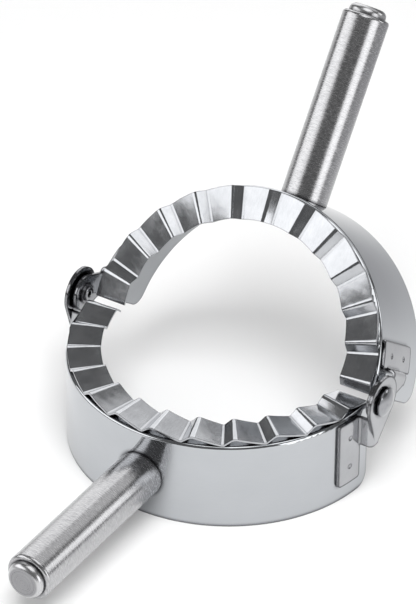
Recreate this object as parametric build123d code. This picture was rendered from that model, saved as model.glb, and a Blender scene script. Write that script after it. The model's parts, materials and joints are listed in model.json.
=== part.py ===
from build123d import *
import math
import os

# Hinged crimping press: two half-round steel halves, each with a ring of saw teeth and a handle,
# that fold shut on each other about one hinge line. Millimetres, +Z up, X along the hinge line.
# The front half stands on its wall's lower edge at -Y, and the rear half is folded up at +Y.
# The origin is on that lower edge, at its middle and halfway through the sheet.

# Half-round walls
wall_radius = 60.0
wall_thickness = 0.8
wall_height = 35.4
wall_corner_radius = 5.5
hinge_line_gap = 0.4
flange_width = 5.0
flange_bend_radius = 0.6

# Crimping rings: sawtooth waves in a flat half ring, with radial crests
ring_width = 12.5
ring_inset = 0.6
ring_sheet = 0.8
tooth_count = 12
tooth_apex = 2.7
tooth_rise_share = 0.26
tooth_land_share = 0.06
closed_gap = 0.35

# Round handles
tube_radius = 9.0
tube_wall = 1.8
tube_length = 72.0
tube_drop = 19.2
tube_edge_radius = 1.3
cap_protrusion = 3.3
cap_insertion = 20.0
cap_edge_radius = 2.4
press_clearance = 0.03

# Hinge plates: a tab spot-welded on the wall, a web bent outwards, and a flat ear
plate_thickness = 1.2
plate_bend_radius = 1.4
plate_corner_radius = 1.2
seat_gap = 0.05
front_tab_width = 11.0
front_tab_bottom = 6.8
front_tab_height = 27.4
front_web_bottom = 21.5
front_web_height = 12.0
front_web_distance = 6.8
front_ear_radius = 9.6
rear_tab_width = 10.0
rear_tab_bottom = 10.2
rear_tab_height = 24.0
rear_web_bottom = 20.0
rear_web_height = 10.5
rear_web_distance = 11.0
rear_ear_radius = 7.0
weld_radius = 1.1
weld_depth = 0.4
weld_spacing_share = 0.46

# Rivets and washers on the hinge line
rear_ear_offset = 2.8
ear_play = 0.05
shank_radius = 2.0
running_clearance = 0.05
head_radius = 5.6
head_rim = 0.5
head_height = 2.2
tail_radius = 2.8
tail_height = 0.9
tail_hole_radius = 1.2
tail_hole_depth = 3.0
head_washer_radius = 4.3
head_washer_thickness = 0.8
spacer_radius = 4.6
spacer_thickness = 0.9
tail_washer_radius = 3.8
tail_washer_thickness = 0.8

# Rest pose: the rear half's angle above the flat, open position
rear_fold_angle = 53.0

# Derived sizes
tooth_pitch = 180.0 / tooth_count
ring_outer = wall_radius - ring_inset
ring_inner = ring_outer - ring_width
rim_level = wall_height + ring_sheet
slope_run_share = 1.0 - tooth_rise_share - tooth_land_share / 2
meshed_slopes = tooth_apex * (1.0 - tooth_land_share) / slope_run_share
pivot_level = rim_level + (meshed_slopes + closed_gap) / 2
tube_level = rim_level - tube_drop
tube_bore = tube_radius - tube_wall
pivot_hole_radius = shank_radius + running_clearance

rear_ear_inner = wall_radius + rear_ear_offset
spacer_inner = rear_ear_inner + plate_thickness + ear_play
front_ear_inner = spacer_inner + spacer_thickness
head_washer_inner = front_ear_inner + plate_thickness
head_inner = head_washer_inner + head_washer_thickness
tail_washer_inner = rear_ear_inner - ear_play - tail_washer_thickness
tail_inner = tail_washer_inner - tail_height


def wall():
    """Half-round wall, bent inwards on top, with its lower corners rounded at the hinge ends."""
    base = (Align.CENTER, Align.CENTER, Align.MIN)
    full = Cylinder(wall_radius, wall_height, align=base)
    full = fillet(full.edges().group_by(Axis.Z)[-1], flange_bend_radius + wall_thickness)
    hollow = Cylinder(wall_radius - wall_thickness, wall_height - wall_thickness, align=base)
    hollow = fillet(hollow.edges().group_by(Axis.Z)[-1], flange_bend_radius)
    full -= hollow
    full -= Cylinder(wall_radius - flange_width, wall_height, align=base)
    side = Polygon(
        (-wall_radius - wall_thickness, 0),
        (-hinge_line_gap, 0),
        (-hinge_line_gap, wall_height),
        (-wall_radius - wall_thickness, wall_height),
        align=None,
    )
    hinge_corner = side.vertices().sort_by(Axis.X)[-2:].sort_by(Axis.Y)[0]
    side = fillet(hinge_corner, wall_corner_radius)
    return full & extrude(Plane.YZ * side, wall_radius + wall_thickness, both=True)


def tooth_curve(distance, level):
    """One sawtooth wave, drawn square to its own middle radius at a distance from the centre."""

    def at(share, height):
        angle = math.radians((share - 0.5) * tooth_pitch)
        return (distance * math.tan(angle), level + height)

    land = tooth_land_share / 2
    apex = at(tooth_rise_share, tooth_apex)
    crest_in = at(land + 0.7 * (tooth_rise_share - land), 0.7 * tooth_apex)
    crest_out = at(tooth_rise_share + 0.12 * slope_run_share, 0.88 * tooth_apex)
    rise = Polyline(at(0, 0), at(land, 0), crest_in)
    crest = Bezier(crest_in, apex, crest_out)
    slope = Polyline(crest_out, at(1 - land, 0), at(1, 0))
    return rise + crest + slope


def tooth():
    """One wave of the ring between two flat sections, wider than the ring on both sides."""
    sections = []
    for distance in (ring_inner * 0.97, ring_outer * 1.02):
        top = tooth_curve(distance, rim_level)
        bottom = tooth_curve(distance, rim_level - ring_sheet)
        ends = Curve() + [Line(top @ 0, bottom @ 0), Line(top @ 1, bottom @ 1)]
        face = make_face(top.edges() + bottom.edges() + ends.edges())
        sections.append(Plane.YZ.offset(distance) * face)
    return loft(Sketch() + sections, ruled=True)


def crimp_ring():
    """Half ring of sawtooth waves, each with its steep side towards the start of the half turn."""
    wave = tooth()
    waves = [Rot(Z=180 + (index + 0.5) * tooth_pitch) * wave for index in range(tooth_count)]
    band_height = rim_level + 2 * tooth_apex
    base = (Align.CENTER, Align.CENTER, Align.MIN)
    band = Cylinder(ring_outer, band_height, align=base) - Cylinder(ring_inner, band_height, align=base)
    front = Pos(0, -hinge_line_gap, 0) * Box(
        4 * wall_radius, 2 * wall_radius, band_height, align=(Align.CENTER, Align.MAX, Align.MIN)
    )
    return (Part() + waves) & (band & front)


def tube():
    """Handle tube, coped to sit on the round wall, with its far edge rounded."""
    reach = wall_radius + tube_length
    body = Plane.XZ * Pos(0, tube_level, 0) * Cylinder(
        tube_radius, reach, align=(Align.CENTER, Align.CENTER, Align.MIN)
    )
    far_edge = body.edges().sort_by(Axis.Y)[0]
    body = fillet(far_edge, min(tube_edge_radius, 0.9 * tube_wall))
    body -= Plane.XZ * Pos(0, tube_level, 0) * Cylinder(
        tube_bore, reach, align=(Align.CENTER, Align.CENTER, Align.MIN)
    )
    return body - Cylinder(
        wall_radius + seat_gap, 2 * rim_level, align=(Align.CENTER, Align.CENTER, Align.MIN)
    )


def end_cap():
    """Turned plug in the tube's far end, standing proud with a rounded edge."""
    start = wall_radius + tube_length - cap_insertion
    plug = Plane.XZ * Pos(0, tube_level, start) * Cylinder(
        tube_bore - press_clearance,
        cap_insertion + cap_protrusion,
        align=(Align.CENTER, Align.CENTER, Align.MIN),
    )
    return fillet(plug.edges().sort_by(Axis.Y)[0], cap_edge_radius)


def pivot_cylinder(radius, inner, length):
    """Cylinder on the hinge line, from a distance out along +X."""
    return Pos(inner, 0, pivot_level) * Rot(Y=90) * Cylinder(
        radius, length, align=(Align.CENTER, Align.CENTER, Align.MIN)
    )


def hinge_plate(
    tab_width, tab_bottom, tab_height, web_bottom, web_height, web_distance, ear_inner, ear_radius
):
    """Right-hand plate of a half that lies at -Y: tab, bent web and ear with its pivot hole."""
    inner = wall_radius + seat_gap
    outer = inner + plate_thickness
    middle = (inner + outer) / 2
    ear_middle = ear_inner + plate_thickness / 2
    tab_middle = -web_distance - tab_width / 2
    base = (Align.CENTER, Align.CENTER, Align.MIN)

    tab_face = Pos(tab_middle, tab_bottom + tab_height / 2) * RectangleRounded(
        tab_width, tab_height, plate_corner_radius
    )
    shell = Cylinder(outer, rim_level, align=base) - Cylinder(inner, rim_level, align=base)
    tab = shell & extrude(Plane.YZ * tab_face, 2 * wall_radius)

    def on_tab(distance):
        return (math.sqrt(middle**2 - distance**2), -distance)

    path = FilletPolyline(
        on_tab(web_distance + 3 * plate_thickness),
        on_tab(web_distance),
        (ear_middle, -web_distance),
        (ear_middle, -web_distance + 2 * plate_bend_radius + plate_thickness),
        radius=plate_bend_radius,
    )
    web = extrude(Pos(0, 0, web_bottom) * trace(path, plate_thickness), web_height)

    root = Pos(-web_distance + plate_bend_radius + plate_thickness, web_bottom + web_height / 2) * Rectangle(
        plate_thickness, web_height
    )
    outline = make_hull(root.edges() + (Pos(0, pivot_level) * Circle(ear_radius)).edges())
    ear = extrude(Plane.YZ.offset(ear_inner) * outline, plate_thickness)

    plate = tab + web + ear
    plate -= pivot_cylinder(pivot_hole_radius, ear_inner - plate_thickness, 3 * plate_thickness)
    sphere_radius = (weld_radius**2 + weld_depth**2) / (2 * weld_depth)
    centre_distance = outer + sphere_radius - weld_depth
    weld_turn = math.degrees(math.asin(tab_middle / outer))
    for side in (-1, 1):
        weld_level = tab_bottom + tab_height * (1 + side * weld_spacing_share) / 2
        plate -= Rot(Z=weld_turn) * Pos(centre_distance, 0, weld_level) * Sphere(sphere_radius)
    return plate


def front_plate():
    return hinge_plate(
        front_tab_width,
        front_tab_bottom,
        front_tab_height,
        front_web_bottom,
        front_web_height,
        front_web_distance,
        front_ear_inner,
        front_ear_radius,
    )


def rear_plate():
    return hinge_plate(
        rear_tab_width,
        rear_tab_bottom,
        rear_tab_height,
        rear_web_bottom,
        rear_web_height,
        rear_web_distance,
        rear_ear_inner,
        rear_ear_radius,
    )


def washer(radius, inner, thickness):
    return pivot_cylinder(radius, inner, thickness) - pivot_cylinder(pivot_hole_radius, inner, thickness)


def rivet():
    """Domed rivet with a rolled hollow tail."""
    shank = pivot_cylinder(shank_radius, tail_inner, head_inner - tail_inner)
    tail = pivot_cylinder(tail_radius, tail_inner, tail_height)
    body = shank + tail - pivot_cylinder(tail_hole_radius, tail_inner, tail_hole_depth)
    body = fillet(body.edges().group_by(Axis.X)[0], 0.4 * tail_height)
    dome_height = head_height - head_rim
    dome_radius = (head_radius**2 + dome_height**2) / (2 * dome_height)
    dome = Pos(head_inner + head_height - dome_radius, 0, pivot_level) * Rot(Y=90) * Sphere(dome_radius)
    return body + (pivot_cylinder(head_radius, head_inner, 2 * head_height) & dome)


def to_left(shape):
    return mirror(shape, about=Plane.YZ)


def place_front(shape):
    return Pos(0, wall_radius - wall_thickness / 2, 0) * shape


def place_rear(shape):
    """Turn a half end for end, then fold it up about the hinge line."""
    folded = Pos(0, 0, pivot_level) * Rot(X=rear_fold_angle) * Pos(0, 0, -pivot_level) * Rot(Z=180) * shape
    return place_front(folded)


nodes = {
    "front_wall": place_front(wall()),
    "front_crimp_ring": place_front(crimp_ring()),
    "front_handle_tube": place_front(tube()),
    "front_handle_cap": place_front(end_cap()),
    "front_hinge_plate_right": place_front(front_plate()),
    "front_hinge_plate_left": place_front(to_left(front_plate())),
    "rear_wall": place_rear(wall()),
    "rear_crimp_ring": place_rear(crimp_ring()),
    "rear_handle_tube": place_rear(tube()),
    "rear_handle_cap": place_rear(end_cap()),
    "rear_hinge_plate_left": place_rear(rear_plate()),
    "rear_hinge_plate_right": place_rear(to_left(rear_plate())),
}

hinge_line_pieces = {
    "hinge_rivet": rivet(),
    "head_washer": washer(head_washer_radius, head_washer_inner, head_washer_thickness),
    "ear_spacer": washer(spacer_radius, spacer_inner, spacer_thickness),
    "tail_washer": washer(tail_washer_radius, tail_washer_inner, tail_washer_thickness),
}
for name, piece in hinge_line_pieces.items():
    nodes[name + "_right"] = place_front(piece)
    nodes[name + "_left"] = place_front(to_left(piece))

os.makedirs("parts", exist_ok=True)
for name, shape in nodes.items():
    shape.label = name
    export_step(shape, f"parts/{name}.step")
print(f"pivot level {pivot_level:.3f} mm, {len(nodes)} nodes")
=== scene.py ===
# Hinged crimping press: two half-round steel halves with sawtooth rings and round handles
import json
import math

import bpy
from mathutils import Matrix, Vector


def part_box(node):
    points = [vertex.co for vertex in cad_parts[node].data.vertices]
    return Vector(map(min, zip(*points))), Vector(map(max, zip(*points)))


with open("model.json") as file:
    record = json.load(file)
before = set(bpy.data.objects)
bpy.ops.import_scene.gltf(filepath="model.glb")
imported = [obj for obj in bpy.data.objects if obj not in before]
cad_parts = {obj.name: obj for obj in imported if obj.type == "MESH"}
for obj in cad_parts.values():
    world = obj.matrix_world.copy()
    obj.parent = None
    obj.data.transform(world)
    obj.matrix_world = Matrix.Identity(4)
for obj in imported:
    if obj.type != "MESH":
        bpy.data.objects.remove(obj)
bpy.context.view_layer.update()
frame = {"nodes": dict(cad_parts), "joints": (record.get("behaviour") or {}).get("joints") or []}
nodes = frame["nodes"]
foldJoint = next(joint for joint in frame["joints"] if joint["name"] == "fold")
hingeLine = Vector(foldJoint["pos_m"])
foldAngle = -math.radians(foldJoint["range_deg"][0])  # the rear half's angle at rest
print("frame loaded:", len(nodes), "nodes")


class Wire:  # one socket's value, so that shader maths reads as ordinary sums
    def __init__(self, graph, socket):
        self.graph = graph
        self.socket = socket

    def maths(self, operation, first, second):
        return self.graph.add("ShaderNodeMath", {"operation": operation}, {0: first, 1: second})

    def __add__(self, other):
        return self.maths("ADD", self, other)

    def __sub__(self, other):
        return self.maths("SUBTRACT", self, other)

    def __rsub__(self, other):
        return self.maths("SUBTRACT", other, self)

    def __mul__(self, other):
        return self.maths("MULTIPLY", self, other)

    __radd__ = __add__
    __rmul__ = __mul__


class Graph:  # the nodes of a material or of the world
    def __init__(self, owner):
        self.owner = owner
        owner.use_nodes = True
        self.tree = owner.node_tree
        self.tree.nodes.clear()

    def add(self, kind, settings=None, inputs=None, output=0):
        node = self.tree.nodes.new(kind)
        for key, value in (settings or {}).items():
            setattr(node, key, value)
        for key, value in (inputs or {}).items():
            if isinstance(value, Wire):
                self.tree.links.new(value.socket, node.inputs[key])
            else:
                node.inputs[key].default_value = value
        return Wire(self, node.outputs[output]) if node.outputs else None

    def finish(self, shader, kind="ShaderNodeOutputMaterial"):
        self.add(kind, inputs={"Surface": shader})
        return self.owner


def materialGraph(name):
    return Graph(bpy.data.materials.new(name))


def noise(graph, place, size, detail, roughness=0.5):
    # size: how long one blotch is along X, Y and Z, in metres
    scale = [1.0 / length for length in size]
    scaled = graph.add("ShaderNodeMapping", inputs={"Vector": place, "Scale": scale})
    return graph.add(
        "ShaderNodeTexNoise",
        inputs={"Vector": scaled, "Scale": 1.0, "Detail": detail, "Roughness": roughness},
    )


def stretch(graph, value, low, high, curve="LINEAR"):
    return graph.add(
        "ShaderNodeMapRange",
        {"clamp": True, "interpolation_type": curve},
        {"Value": value, "From Min": low, "From Max": high},
    )


def fullColour(colour):
    return colour if isinstance(colour, Wire) else (*colour, 1.0)


def mixColour(graph, factor, first, second):
    return graph.add(
        "ShaderNodeMix",
        {"data_type": "RGBA"},
        {0: factor, 6: fullColour(first), 7: fullColour(second)},
        output=2,
    )


def halfPlace(graph, half):
    # the surface's place with the press opened flat, so that both halves' marks run alike
    place = graph.add("ShaderNodeTexCoord", output="Object")
    if half == "front":
        return place
    moved = graph.add(
        "ShaderNodeMapping",
        {"vector_type": "POINT"},
        {"Vector": place, "Location": tuple(-hingeLine)},
    )
    return graph.add(
        "ShaderNodeMapping",
        {"vector_type": "POINT"},
        {"Vector": moved, "Rotation": (-foldAngle, 0.0, 0.0), "Location": tuple(hingeLine)},
    )


# the noise behind the marks: how detailed it is, and which of its levels are the darkest and lightest blotch
markValues = {
    "blotchDetail": 3.0,
    "blotchRange": (0.3, 0.7),
    "grainDetail": 2.0,
    "grainRoughness": 0.6,
    "dentDetail": 1.0,
}

# painted shade and dark reflection along sheared or rounded edges: the least turn that shows as a dark line
# along the edge
edgeValues = {"softTurn": 0.02, "samples": 8}

# painted shade: dark lines where two pieces meet, and in crevices and dimples, where ambient occlusion finds
# other surfaces within reach
creviceShadeValues = {
    "reach": 0.0016,
    "closed": 0.55,
    "open": 0.98,
    "colour": (0.02, 0.02, 0.025),
    "samples": 8,
}


def roundedNormal(graph, width):
    return graph.add("ShaderNodeBevel", {"samples": edgeValues["samples"]}, {"Radius": width})


# painted shade: a mask for dark lines along edges, where the rounded normal turns away from the true one
def edgeShadeLine(graph, width, sharpTurn):
    straight = graph.add("ShaderNodeNewGeometry", output="Normal")
    alike = graph.add(
        "ShaderNodeVectorMath",
        {"operation": "DOT_PRODUCT"},
        {0: roundedNormal(graph, width), 1: straight},
        output="Value",
    )
    return stretch(graph, 1.0 - alike, edgeValues["softTurn"], sharpTurn)


# painted shade: a mask that grows where ambient occlusion finds other surfaces close by
def paintedCreviceShade(graph):
    openness = graph.add(
        "ShaderNodeAmbientOcclusion",
        {"samples": creviceShadeValues["samples"]},
        {"Distance": creviceShadeValues["reach"]},
        output="AO",
    )
    return 1.0 - stretch(graph, openness, creviceShadeValues["closed"], creviceShadeValues["open"])


def axisDistance(graph, place):
    # how far the surface is from its handle's axis
    low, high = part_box("front_handle_cap")
    level = (low[2] + high[2]) / 2
    offset = graph.add("ShaderNodeVectorMath", {"operation": "SUBTRACT"}, {0: place, 1: (0.0, 0.0, level)})
    across = graph.add("ShaderNodeVectorMath", {"operation": "MULTIPLY"}, {0: offset, 1: (1.0, 0.0, 1.0)})
    return graph.add("ShaderNodeVectorMath", {"operation": "LENGTH"}, {0: across}, output="Value")


def steel(name, half, look):
    graph = materialGraph(name)
    place = halfPlace(graph, half)
    blotchNoise = noise(graph, place, look["blotch"], markValues["blotchDetail"])
    blotch = stretch(graph, blotchNoise, *markValues["blotchRange"])
    grainPlace = place
    if "rim" in look:  # turned on a lathe, so its marks are rings round the axis
        distance = axisDistance(graph, place)
        grainPlace = graph.add("ShaderNodeCombineXYZ", inputs={"X": distance})
    grain = noise(graph, grainPlace, look["grain"], markValues["grainDetail"], markValues["grainRoughness"])
    stroke = stretch(graph, grain, 0.5 - look["strokeSpread"], 0.5 + look["strokeSpread"])
    shade = stroke * look["strokeShare"] + blotch * (1.0 - look["strokeShare"])
    metalColour = mixColour(graph, shade, look["darkColour"], look["lightColour"])
    # painted highlight: the cap's rounded rim gets a lighter colour than its face
    if "rim" in look:
        onRim = stretch(graph, distance, *look["rim"])
        rimHighlightColour = mixColour(graph, shade, look["rimDarkColour"], look["rimLightColour"])
        metalColour = mixColour(graph, onRim, metalColour, rimHighlightColour)
    # painted shade: the colour is darkened towards near black in crevices and along edges
    crevice = paintedCreviceShade(graph) * look["grimeShare"]
    paintedEdgeShade = edgeShadeLine(graph, look["lineWidth"], look["sharpTurn"]) * look["edgeShadeShare"]
    grime = graph.add("ShaderNodeMath", {"operation": "MAXIMUM"}, {0: crevice, 1: paintedEdgeShade})
    dent = noise(graph, place, look["dent"], markValues["dentDetail"])
    normal = graph.add(
        "ShaderNodeBump",
        inputs={
            "Strength": 1.0,
            "Distance": 1.0,
            "Height": grain * look["grainDepth"] + dent * look["dentDepth"],
            "Normal": roundedNormal(graph, look["edgeWidth"]),
        },
    )
    shader = graph.add(
        "ShaderNodeBsdfPrincipled",
        inputs={
            "Base Color": mixColour(graph, grime, metalColour, creviceShadeValues["colour"]),
            "Metallic": 1.0,
            "Roughness": shade * look["roughnessSpread"] + look["roughness"],
            "Normal": normal,
        },
    )
    return graph.finish(shader)


wallLook = {
    "darkColour": (0.47, 0.485, 0.505),
    "lightColour": (0.51, 0.525, 0.545),
    "roughness": 0.03,
    "roughnessSpread": 0.03,
    "blotch": (0.03, 0.03, 0.02),
    "grain": (0.004, 0.004, 0.0004),
    "strokeSpread": 0.3,
    "strokeShare": 0.3,
    "grainDepth": 0.0000006,
    "dent": (0.02, 0.02, 0.02),
    "dentDepth": 0.00002,
    "edgeWidth": 0.00010,
    "lineWidth": 0.0012,
    "sharpTurn": 0.14,
    "edgeShadeShare": 0.75,
    "grimeShare": 0.8,
}

ringLook = {
    "darkColour": (0.42, 0.43, 0.45),
    "lightColour": (0.54, 0.55, 0.57),
    "roughness": 0.1,
    "roughnessSpread": 0.1,
    "blotch": (0.006, 0.006, 0.004),
    "grain": (0.0005, 0.003, 0.0005),
    "strokeSpread": 0.3,
    "strokeShare": 0.5,
    "grainDepth": 0.0000020,
    "dent": (0.005, 0.005, 0.005),
    "dentDepth": 0.00004,
    "edgeWidth": 0.00010,
    "lineWidth": 0.0010,
    "sharpTurn": 0.14,
    "edgeShadeShare": 0.35,
    "grimeShare": 0.8,
}

handleLook = {
    "darkColour": (0.25, 0.25, 0.26),
    "lightColour": (0.65, 0.65, 0.66),
    "roughness": 0.17,
    "roughnessSpread": 0.15,
    "blotch": (0.03, 0.03, 0.03),
    "grain": (0.0018, 0.00028, 0.0018),
    "strokeSpread": 0.32,
    "strokeShare": 0.95,
    "grainDepth": 0.0000052,
    "dent": (0.02, 0.02, 0.02),
    "dentDepth": 0.00001,
    "edgeWidth": 0.00020,
    "lineWidth": 0.0010,
    "sharpTurn": 0.14,
    "edgeShadeShare": 0.6,
    "grimeShare": 0.8,
}

capLook = {
    "darkColour": (0.20, 0.20, 0.21),
    "lightColour": (0.36, 0.36, 0.37),
    # painted highlight: the rim colours are lighter than the face colours, standing in for the highlights on
    # the rounded rim
    "rimDarkColour": (0.44, 0.44, 0.45),
    "rimLightColour": (0.66, 0.66, 0.67),
    "rim": (0.0054, 0.0062),  # the bright rim starts and is full this far from the axis
    "roughness": 0.22,
    "roughnessSpread": 0.12,
    "blotch": (0.01, 0.01, 0.01),
    "grain": (0.00045, 0.00045, 0.00045),
    "strokeSpread": 0.25,
    "strokeShare": 0.7,
    "grainDepth": 0.0000060,
    "dent": (0.006, 0.006, 0.006),
    "dentDepth": 0.00001,
    "edgeWidth": 0.00020,
    "lineWidth": 0.0010,
    "sharpTurn": 0.14,
    "edgeShadeShare": 0.45,
    "grimeShare": 0.8,
}

plateLook = {
    "darkColour": (0.38, 0.385, 0.40),
    "lightColour": (0.46, 0.465, 0.48),
    "roughness": 0.1,
    "roughnessSpread": 0.1,
    "blotch": (0.01, 0.01, 0.01),
    "grain": (0.0004, 0.0004, 0.003),
    "strokeSpread": 0.3,
    "strokeShare": 0.4,
    "grainDepth": 0.0000020,
    "dent": (0.006, 0.006, 0.006),
    "dentDepth": 0.00002,
    "edgeWidth": 0.00018,
    "lineWidth": 0.0015,
    "sharpTurn": 0.055,  # low, so that the weld dimples' rims show
    "edgeShadeShare": 0.8,
    "grimeShare": 0.85,
}

rivetLook = {
    "darkColour": (0.28, 0.285, 0.30),
    "lightColour": (0.44, 0.445, 0.46),
    "roughness": 0.1,
    "roughnessSpread": 0.08,
    "blotch": (0.003, 0.003, 0.003),
    "grain": (0.0003, 0.0003, 0.0003),
    "strokeSpread": 0.3,
    "strokeShare": 0.3,
    "grainDepth": 0.0000010,
    "dent": (0.003, 0.003, 0.003),
    "dentDepth": 0.00001,
    "edgeWidth": 0.00012,
    "lineWidth": 0.0012,
    "sharpTurn": 0.14,
    "edgeShadeShare": 0.5,
    "grimeShare": 0.85,
}

washerLook = {
    "darkColour": (0.34, 0.34, 0.36),
    "lightColour": (0.52, 0.52, 0.54),
    "roughness": 0.2,
    "roughnessSpread": 0.15,
    "blotch": (0.003, 0.003, 0.003),
    "grain": (0.0003, 0.0003, 0.0003),
    "strokeSpread": 0.3,
    "strokeShare": 0.5,
    "grainDepth": 0.0000030,
    "dent": (0.003, 0.003, 0.003),
    "dentDepth": 0.00001,
    "edgeWidth": 0.00012,
    "lineWidth": 0.0010,
    "sharpTurn": 0.14,
    "edgeShadeShare": 0.5,
    "grimeShare": 0.85,
}


def dress(node, material):
    mesh = nodes[node].data
    mesh.materials.clear()
    mesh.materials.append(material)


finishes = {
    "wall": ("mirrorWall", wallLook),
    "crimp_ring": ("pressedRing", ringLook),
    "handle_tube": ("brushedTube", handleLook),
    "handle_cap": ("turnedCap", capLook),
    "hinge_plate_left": ("hingeSheet", plateLook),
    "hinge_plate_right": ("hingeSheet", plateLook),
}
for half in ("front", "rear"):
    made = {}
    for piece, (name, look) in finishes.items():
        if name not in made:
            made[name] = steel(name + half.capitalize(), half, look)
        dress(f"{half}_{piece}", made[name])
rivetSteel = steel("domedRivet", "front", rivetLook)
washerSteel = steel("dullWasher", "front", washerLook)
for side in ("left", "right"):
    dress(f"hinge_rivet_{side}", rivetSteel)
    for piece in ("head_washer", "ear_spacer", "tail_washer"):
        dress(f"{piece}_{side}", washerSteel)
print("steel finishes made")


# a plain pale floor; the steel mirrors a sheet just over it that grows darker towards the back right:
# painted shade, standing in for the light falling off there
floorValues = {
    "size": 8.0,
    "near": (0.88, 0.88, 0.88),
    "far": (0.42, 0.42, 0.43),
    "towards": (0.6, 0.8, 0.0),
    "reach": (0.09, 0.36),
    "lift": 0.0001,
    "roughness": 0.9,
    "specular": 0.2,
}


def sheetOnFloor(name, level, colour, graph):
    bpy.ops.mesh.primitive_plane_add(size=floorValues["size"], location=(0.0, 0.0, level))
    sheet = bpy.context.object
    sheet.name = name
    shader = graph.add(
        "ShaderNodeBsdfPrincipled",
        inputs={
            "Base Color": fullColour(colour),
            "Roughness": floorValues["roughness"],
            "Specular IOR Level": floorValues["specular"],
        },
    )
    sheet.data.materials.append(graph.finish(shader))
    return sheet


def layFloor():
    floor = sheetOnFloor("paleFloor", 0.0, floorValues["near"], materialGraph("palePaper"))
    floor.visible_glossy = False
    graph = materialGraph("mirroredFloorShade")
    place = graph.add("ShaderNodeTexCoord", output="Object")
    away = graph.add(
        "ShaderNodeVectorMath",
        {"operation": "DOT_PRODUCT"},
        {0: place, 1: floorValues["towards"]},
        output="Value",
    )
    # painted shade: the mirrored sheet darkens towards the back right
    paintedFalloff = stretch(graph, away, *floorValues["reach"], curve="SMOOTHSTEP")
    colour = mixColour(graph, paintedFalloff, floorValues["near"], floorValues["far"])
    mirrored = sheetOnFloor("mirroredFloor", floorValues["lift"], colour, graph)
    mirrored.visible_camera = False
    mirrored.visible_diffuse = False
    mirrored.visible_shadow = False


# the overhead light falls on the floor, and the others are cards that are seen in the steel alone
studioLights = {
    "overheadLight": {"place": (0.26, -0.34, 1.08), "size": (0.9, 0.9), "glow": 3.9, "onFloor": True},
    "topCard": {"place": (0.24, -0.04, 1.15), "size": (0.9, 0.9), "glow": 1.3, "onFloor": False},
    "leftBackLight": {"place": (-0.80, 1.15, 0.68), "size": (1.0, 1.5), "glow": 1.05, "onFloor": False},
    "upperBackLight": {"place": (0.22, 1.15, 1.18), "size": (1.3, 0.8), "glow": 0.55, "onFloor": False},
    "leftFrontLight": {"place": (-1.24, -0.84, 0.80), "size": (2.2, 0.95), "glow": 1.4, "onFloor": False},
    "lowBackLight": {"place": (1.16, 1.15, 0.46), "size": (0.45, 0.6), "glow": 1.8, "onFloor": False},
    "rightLight": {"place": (1.61, -0.15, 0.44), "size": (1.0, 0.88), "glow": 1.65, "onFloor": False},
}
lightsAim = Vector((0.0, 0.06, 0.05))
glowPower = 4.0  # watts for each square metre of a light whose glow is 1


def hangLights():
    for name, light in studioLights.items():
        data = bpy.data.lights.new(name, "AREA")
        data.shape = "RECTANGLE"
        data.size, data.size_y = light["size"]
        data.energy = glowPower * data.size * data.size_y * light["glow"]
        lamp = bpy.data.objects.new(name, data)
        lamp.visible_diffuse = light["onFloor"]
        lamp.visible_glossy = not light["onFloor"]
        bpy.context.collection.objects.link(lamp)
        place = Vector(light["place"])
        turn = (place - lightsAim).to_track_quat("Z", "Y").to_matrix().to_4x4()
        lamp.matrix_world = Matrix.Translation(place) @ turn


# how bright the room is to the camera, in the steel, and as light on matt surfaces
roomValues = {"seen": 0.93, "mirrored": 0.16, "ambient": 0.62}


def paintRoom():
    graph = Graph(bpy.data.worlds.new("studioRoom"))
    onMatt = graph.add("ShaderNodeLightPath", output="Is Diffuse Ray")
    toCamera = graph.add("ShaderNodeLightPath", output="Is Camera Ray")
    unseen = graph.add(
        "ShaderNodeMix", inputs={0: onMatt, 2: roomValues["mirrored"], 3: roomValues["ambient"]}
    )
    glow = graph.add("ShaderNodeMix", inputs={0: toCamera, 2: unseen, 3: roomValues["seen"]})
    background = graph.add("ShaderNodeBackground", inputs={"Color": (1.0, 1.0, 1.0, 1.0), "Strength": glow})
    bpy.context.scene.world = graph.finish(background, "ShaderNodeOutputWorld")


# angles in degrees and the lens and sensor in millimetres; aside and above frame the press
cameraValues = {
    "azimuth": 31.92,
    "elevation": 34.62,
    "roll": 0.35,
    "distance": 1.5130,
    "aside": 0.0074,
    "above": -0.01736,
    "lens": 244.49,
    "sensor": 36.0,
    "aim": (0.0, 0.0596, 0.0362),
    "farthest": 30.0,
}


def placeCamera():
    azimuth = math.radians(cameraValues["azimuth"])
    elevation = math.radians(cameraValues["elevation"])
    back = Vector(
        (
            math.sin(azimuth) * math.cos(elevation),
            -math.cos(azimuth) * math.cos(elevation),
            math.sin(elevation),
        )
    )
    right = Vector((0.0, 0.0, 1.0)).cross(back).normalized()
    up = back.cross(right)
    roll = math.radians(cameraValues["roll"])
    rolledRight = math.cos(roll) * right + math.sin(roll) * up
    rolledUp = math.cos(roll) * up - math.sin(roll) * right
    place = Vector(cameraValues["aim"]) + cameraValues["distance"] * back
    place -= cameraValues["aside"] * rolledRight + cameraValues["above"] * rolledUp
    data = bpy.data.cameras.new("photoCamera")
    data.sensor_width = cameraValues["sensor"]
    data.lens = cameraValues["lens"]
    data.clip_end = cameraValues["farthest"]
    camera = bpy.data.objects.new("photoCamera", data)
    bpy.context.collection.objects.link(camera)
    turn = Matrix((rolledRight, rolledUp, back)).transposed().to_4x4()
    camera.matrix_world = Matrix.Translation(place) @ turn
    bpy.context.scene.camera = camera


layFloor()
print("floor laid")
hangLights()
paintRoom()
print("room lit")
placeCamera()
bpy.context.scene.view_settings.view_transform = "Standard"
print("camera placed")
